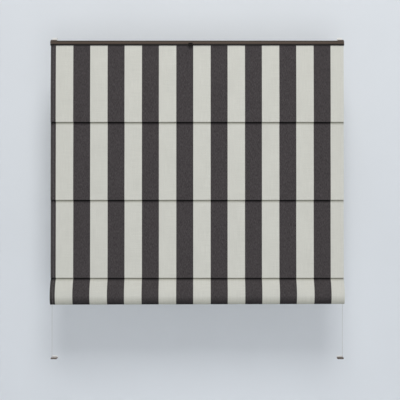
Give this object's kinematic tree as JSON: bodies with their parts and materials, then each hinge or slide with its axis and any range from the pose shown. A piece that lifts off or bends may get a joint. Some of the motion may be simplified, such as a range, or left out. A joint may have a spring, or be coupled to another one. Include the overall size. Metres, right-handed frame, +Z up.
{
  "type": "roman blind",
  "caption": "Striped roman blind with sewn tucks and a hanging last fold, on two rails that slide on taut guide cords hooked onto a window sash.",
  "frame": {"origin": "on the sash's front face at its top edge, midway between the two top hooks", "axes": "+X to the right seen from the room, -Y towards the room, +Z up"},
  "size_m": [1.2, 0.0627, 1.321],
  "materials": {
    "brown_aluminium": "brown powder coat, satin",
    "brown_plastic": "satin moulding",
    "white_steel": "white powder coat",
    "screw_steel": "plain zinc",
    "cord": "braided polyester",
    "rubber": "matte",
    "grip_plastic": "polished moulding",
    "white_plastic": "satin",
    "tape": "plain woven tape",
    "striped_cloth": "plain weave, cream with charcoal stripes"
  },
  "bodies": {
    "fixings": {"top_hook_left": "white_steel", "top_hook_right": "white_steel", "top_shoe_left": "brown_plastic", "top_shoe_right": "brown_plastic", "bottom_hook_left": "white_steel", "bottom_hook_right": "white_steel", "bottom_shoe_left": "brown_plastic", "bottom_shoe_right": "brown_plastic", "shoe_screws": "screw_steel", "guide_cord_left": "cord", "guide_cord_right": "cord", "cord_ferrules": "screw_steel"},
    "upper": {"top_rail": "brown_aluminium", "top_cap_left": "brown_plastic", "top_cap_right": "brown_plastic", "top_brake_left": "rubber", "top_brake_right": "rubber", "top_grip": "grip_plastic", "top_spline": "white_plastic", "fabric": "striped_cloth"},
    "stiffener_1": {"rod_1": "white_plastic", "rod_1_pocket": "tape", "rod_1_clip_left": "white_plastic", "rod_1_clip_right": "white_plastic"},
    "stiffener_2": {"rod_2": "white_plastic", "rod_2_pocket": "tape", "rod_2_clip_left": "white_plastic", "rod_2_clip_right": "white_plastic"},
    "stiffener_3": {"rod_3": "white_plastic", "rod_3_pocket": "tape", "rod_3_clip_left": "white_plastic", "rod_3_clip_right": "white_plastic"},
    "lower": {"bottom_rail": "brown_aluminium", "bottom_cap_left": "brown_plastic", "bottom_cap_right": "brown_plastic", "bottom_brake_left": "rubber", "bottom_brake_right": "rubber", "bottom_grip": "grip_plastic", "bottom_spline": "white_plastic"}
  },
  "joints": [
    {"name": "top_rail_drop", "type": "slide", "parent": "fixings", "child": "upper", "axis": [0, 0, -1], "range_m": [0, 0.12]},
    {"name": "blind_gather", "type": "slide", "parent": "upper", "child": "stiffener_3", "axis": [0, 0, 1], "range_m": [0, 0.87], "deforming": ["fabric"]},
    {"name": "stiffener_1_gather", "type": "slide", "parent": "upper", "child": "stiffener_1", "axis": [0, 0, 1], "range_m": [0, 0.291]},
    {"name": "stiffener_2_gather", "type": "slide", "parent": "upper", "child": "stiffener_2", "axis": [0, 0, 1], "range_m": [0, 0.581]},
    {"name": "bottom_rail_drop", "type": "slide", "parent": "stiffener_3", "child": "lower", "axis": [0, 0, -1], "range_m": [0, 0.145]}
  ],
  "couplings": [
    {"joint": "stiffener_1_gather", "follows": "blind_gather", "ratio": 0.33333},
    {"joint": "stiffener_2_gather", "follows": "blind_gather", "ratio": 0.66667}
  ]
}
